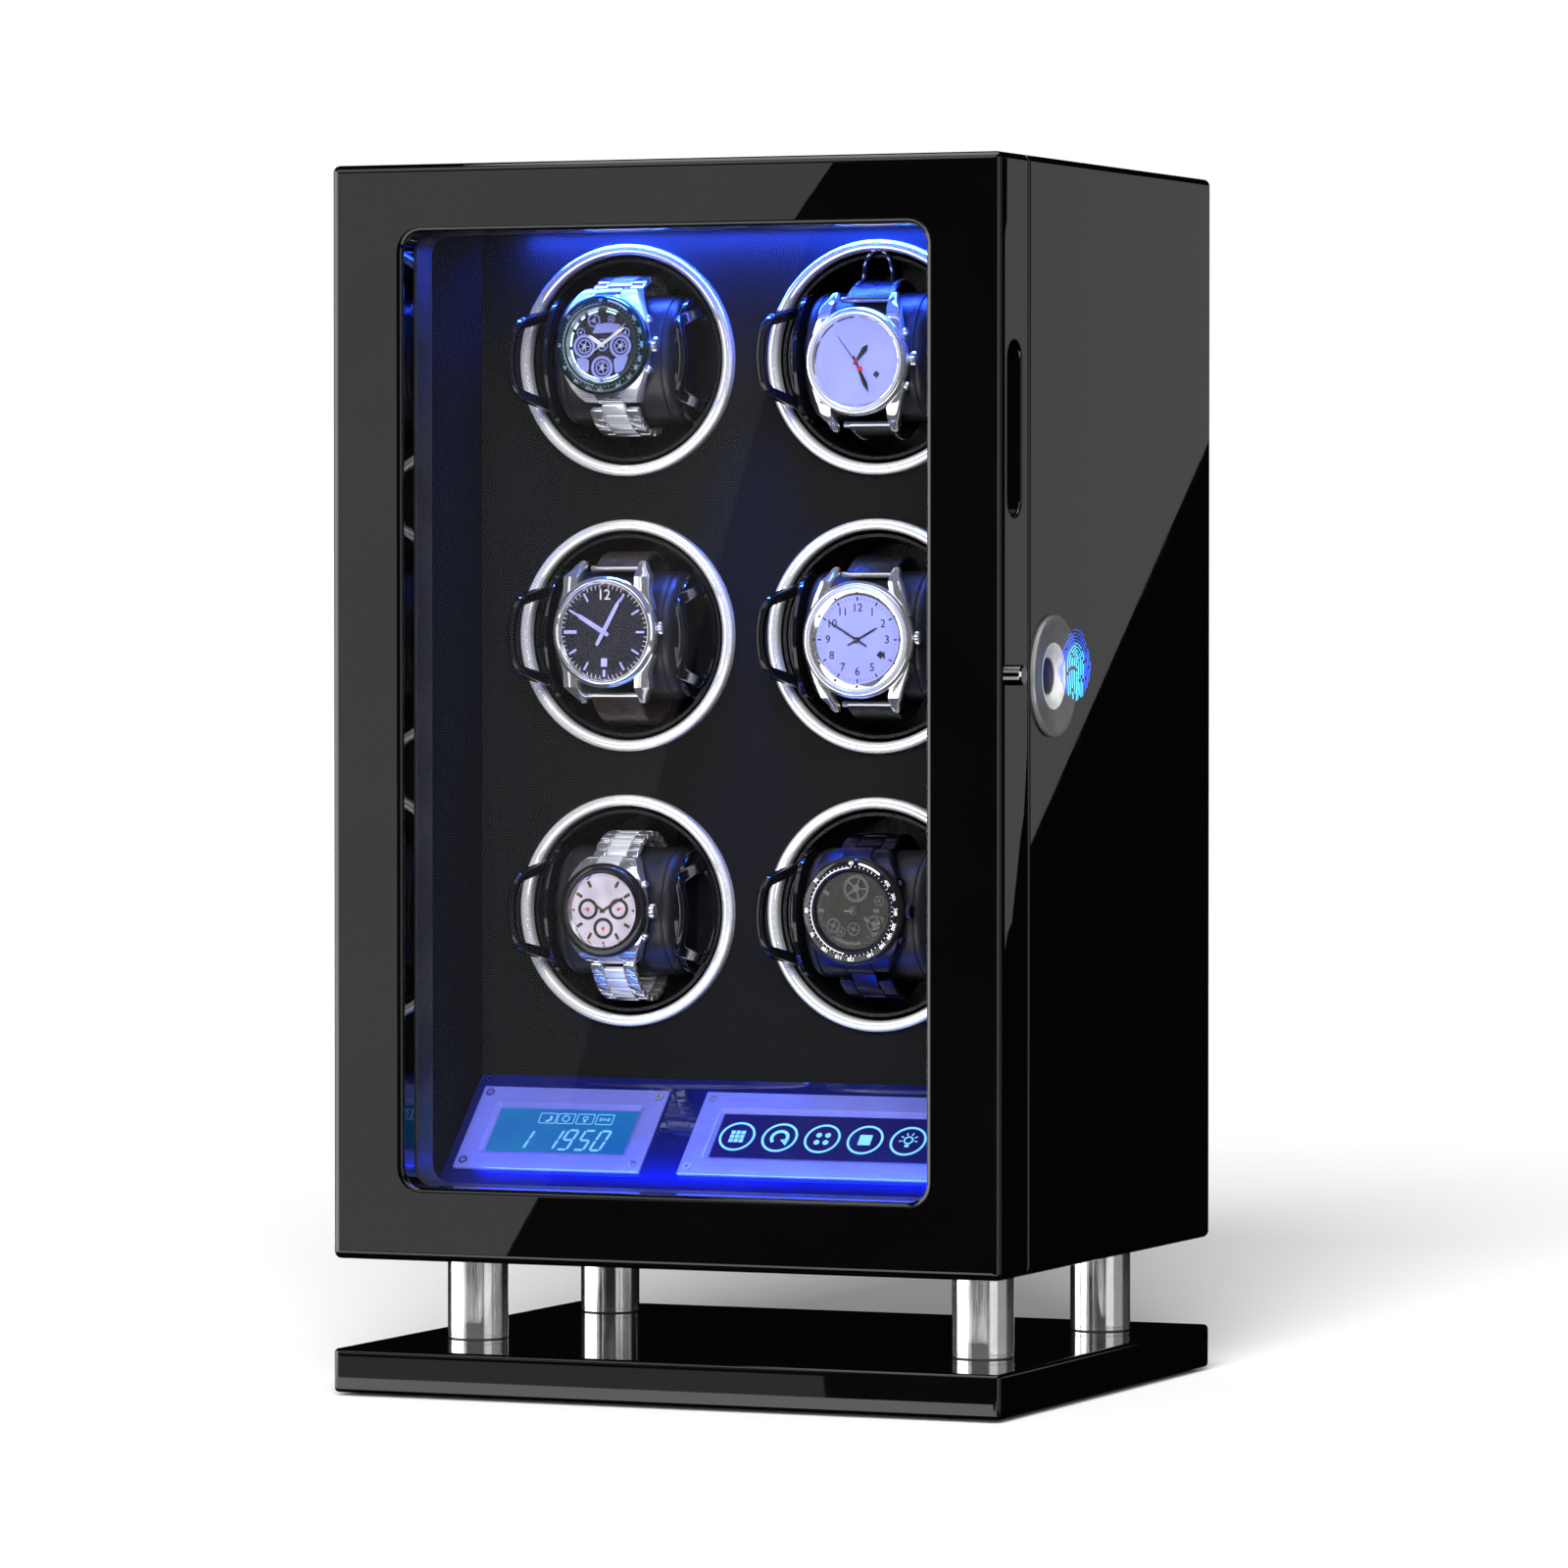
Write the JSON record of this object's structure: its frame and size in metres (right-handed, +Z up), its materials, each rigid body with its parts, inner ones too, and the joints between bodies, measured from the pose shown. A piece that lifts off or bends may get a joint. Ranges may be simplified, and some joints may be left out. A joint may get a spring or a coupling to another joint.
{
  "type": "watch winder box",
  "caption": "Free-standing watch winder cabinet with a glazed door, geared rotors that carry watches on cushions, a lit control panel, a fingerprint lock and a raised plinth.",
  "frame": {"origin": "on the ground under the middle of the cabinet", "axes": "+Z up, the door faces -Y, +X to the right of someone facing the door"},
  "size_m": [0.2698, 0.218, 0.4495],
  "materials": {
    "piano_lacquer": "high gloss black piano lacquer on fibreboard",
    "velvet_lining": "short black velvet",
    "back_board": "satin black painted hardboard",
    "screw_steel": "zinc plated",
    "panel_suede": "matt black micro-suede",
    "control_lacquer": "gloss black",
    "bezel_aluminium": "fine brushed",
    "lcd_display": "back-lit liquid crystal",
    "touch_glass": "back-lit glass keys",
    "led_channel": "anodised",
    "led_diffuser": "opal, lit blue",
    "post_steel": "polished",
    "felt": "felt",
    "ring_chrome": "polished",
    "chassis_metal": "grey powder coat",
    "motor_steel": "plated",
    "circuit_board": "green solder mask",
    "black_plastic": "moulded",
    "lock_metal": "satin with polished edge",
    "sensor_glass": "black glass",
    "hinge_brass": "polished",
    "door_glass": "clear",
    "gear_plastic": "acetal",
    "rotor_plastic": "gloss black",
    "holder_gloss": "gloss black",
    "cushion_leather": "soft grained",
    "watch_steel": "brushed and polished",
    "watch_black_steel": "black coated",
    "watch_strap": "grained strap",
    "watch_dial": "lacquered dial",
    "watch_crystal": "clear sapphire"
  },
  "bodies": {
    "root": {"cabinet_shell": "piano_lacquer", "chamber_liner": "velvet_lining", "back_panel": "back_board", "panel_screws": "screw_steel", "rotor_panel": "panel_suede", "control_board": "control_lacquer", "lcd_bezel": "bezel_aluminium", "lcd_module": "lcd_display", "touch_bezel": "bezel_aluminium", "touch_panel": "touch_glass", "led_light_bars": "led_channel", "led_diffusers": "led_diffuser", "base_plate": "piano_lacquer", "support_posts": "post_steel", "post_bolts": "screw_steel", "base_pads": "felt", "trim_rings": "ring_chrome", "drive_chassis": "chassis_metal", "gear_motors": "motor_steel", "circuit_board": "circuit_board", "dc_jack": "black_plastic", "lock_escutcheon": "lock_metal", "fingerprint_sensor": "sensor_glass", "latch_body": "motor_steel", "cabinet_hinge_leaves": "hinge_brass", "hinge_pins": "screw_steel"},
    "door": {"door_frame": "piano_lacquer", "door_glass": "door_glass", "glass_retainer": "black_plastic", "door_hinge_leaves": "hinge_brass", "strike_plate": "screw_steel"},
    "release_button": {"release_button": "ring_chrome"},
    "latch_bolt": {"latch_bolt": "screw_steel"},
    "pinion_top": {"drive_pinion_top": "gear_plastic"},
    "pinion_middle": {"drive_pinion_middle": "gear_plastic"},
    "pinion_bottom": {"drive_pinion_bottom": "gear_plastic"},
    "rotor_1": {"rotor_cup_1": "rotor_plastic"},
    "rotor_2": {"rotor_cup_2": "rotor_plastic"},
    "rotor_3": {"rotor_cup_3": "rotor_plastic"},
    "rotor_4": {"rotor_cup_4": "rotor_plastic"},
    "rotor_5": {"rotor_cup_5": "rotor_plastic"},
    "rotor_6": {"rotor_cup_6": "rotor_plastic"},
    "holder_1": {"watch_holder_1": "holder_gloss", "cushion_1": "cushion_leather", "watch_1": "watch_steel"},
    "holder_2": {"watch_holder_2": "holder_gloss", "cushion_2": "cushion_leather", "watch_2": "watch_steel"},
    "holder_3": {"watch_holder_3": "holder_gloss", "cushion_3": "cushion_leather", "watch_3": "watch_steel"},
    "holder_4": {"watch_holder_4": "holder_gloss", "cushion_4": "cushion_leather", "watch_4": "watch_steel"},
    "holder_5": {"watch_holder_5": "holder_gloss", "cushion_5": "cushion_leather", "watch_5": "watch_steel"},
    "holder_6": {"watch_holder_6": "holder_gloss", "cushion_6": "cushion_leather", "watch_6": "watch_black_steel"}
  },
  "joints": [
    {"name": "door_hinge", "type": "hinge", "parent": "root", "child": "door", "pos_m": [-0.1325, -0.0807, 0.25], "axis": [0, 0, -1], "range_deg": [0, 110]},
    {"name": "release_press", "type": "slide", "parent": "door", "child": "release_button", "axis": [-1, 0, 0], "range_m": [0, 0.002], "stiffness_N_per_m": 300, "springref_m": -0.001},
    {"name": "latch_throw", "type": "slide", "parent": "root", "child": "latch_bolt", "axis": [0, -1, 0], "range_m": [0, 0.005]},
    {"name": "rotor_1_spin", "type": "hinge", "parent": "root", "child": "rotor_1", "pos_m": [-0.05, 0, 0.38], "axis": [0, -1, 0], "continuous": true},
    {"name": "rotor_2_spin", "type": "hinge", "parent": "root", "child": "rotor_2", "pos_m": [0.05, 0, 0.38], "axis": [0, -1, 0], "continuous": true},
    {"name": "rotor_3_spin", "type": "hinge", "parent": "root", "child": "rotor_3", "pos_m": [-0.05, 0, 0.278], "axis": [0, -1, 0], "continuous": true},
    {"name": "rotor_4_spin", "type": "hinge", "parent": "root", "child": "rotor_4", "pos_m": [0.05, 0, 0.278], "axis": [0, -1, 0], "continuous": true},
    {"name": "rotor_5_spin", "type": "hinge", "parent": "root", "child": "rotor_5", "pos_m": [-0.05, 0, 0.176], "axis": [0, -1, 0], "continuous": true},
    {"name": "rotor_6_spin", "type": "hinge", "parent": "root", "child": "rotor_6", "pos_m": [0.05, 0, 0.176], "axis": [0, -1, 0], "continuous": true},
    {"name": "pinion_top_spin", "type": "hinge", "parent": "root", "child": "pinion_top", "pos_m": [0, 0, 0.38], "axis": [0, -1, 0], "continuous": true},
    {"name": "pinion_middle_spin", "type": "hinge", "parent": "root", "child": "pinion_middle", "pos_m": [0, 0, 0.278], "axis": [0, -1, 0], "continuous": true},
    {"name": "pinion_bottom_spin", "type": "hinge", "parent": "root", "child": "pinion_bottom", "pos_m": [0, 0, 0.176], "axis": [0, -1, 0], "continuous": true},
    {"name": "holder_1_pull", "type": "slide", "parent": "rotor_1", "child": "holder_1", "axis": [0, -1, 0], "range_m": [0, 0.034]},
    {"name": "holder_2_pull", "type": "slide", "parent": "rotor_2", "child": "holder_2", "axis": [0, -1, 0], "range_m": [0, 0.034]},
    {"name": "holder_3_pull", "type": "slide", "parent": "rotor_3", "child": "holder_3", "axis": [0, -1, 0], "range_m": [0, 0.034]},
    {"name": "holder_4_pull", "type": "slide", "parent": "rotor_4", "child": "holder_4", "axis": [0, -1, 0], "range_m": [0, 0.034]},
    {"name": "holder_5_pull", "type": "slide", "parent": "rotor_5", "child": "holder_5", "axis": [0, -1, 0], "range_m": [0, 0.034]},
    {"name": "holder_6_pull", "type": "slide", "parent": "rotor_6", "child": "holder_6", "axis": [0, -1, 0], "range_m": [0, 0.034]}
  ],
  "couplings": [
    {"joint": "pinion_top_spin", "follows": "rotor_1_spin", "ratio": -4},
    {"joint": "rotor_2_spin", "follows": "rotor_1_spin", "ratio": 1},
    {"joint": "pinion_middle_spin", "follows": "rotor_3_spin", "ratio": -4},
    {"joint": "rotor_4_spin", "follows": "rotor_3_spin", "ratio": 1},
    {"joint": "pinion_bottom_spin", "follows": "rotor_5_spin", "ratio": -4},
    {"joint": "rotor_6_spin", "follows": "rotor_5_spin", "ratio": 1}
  ]
}
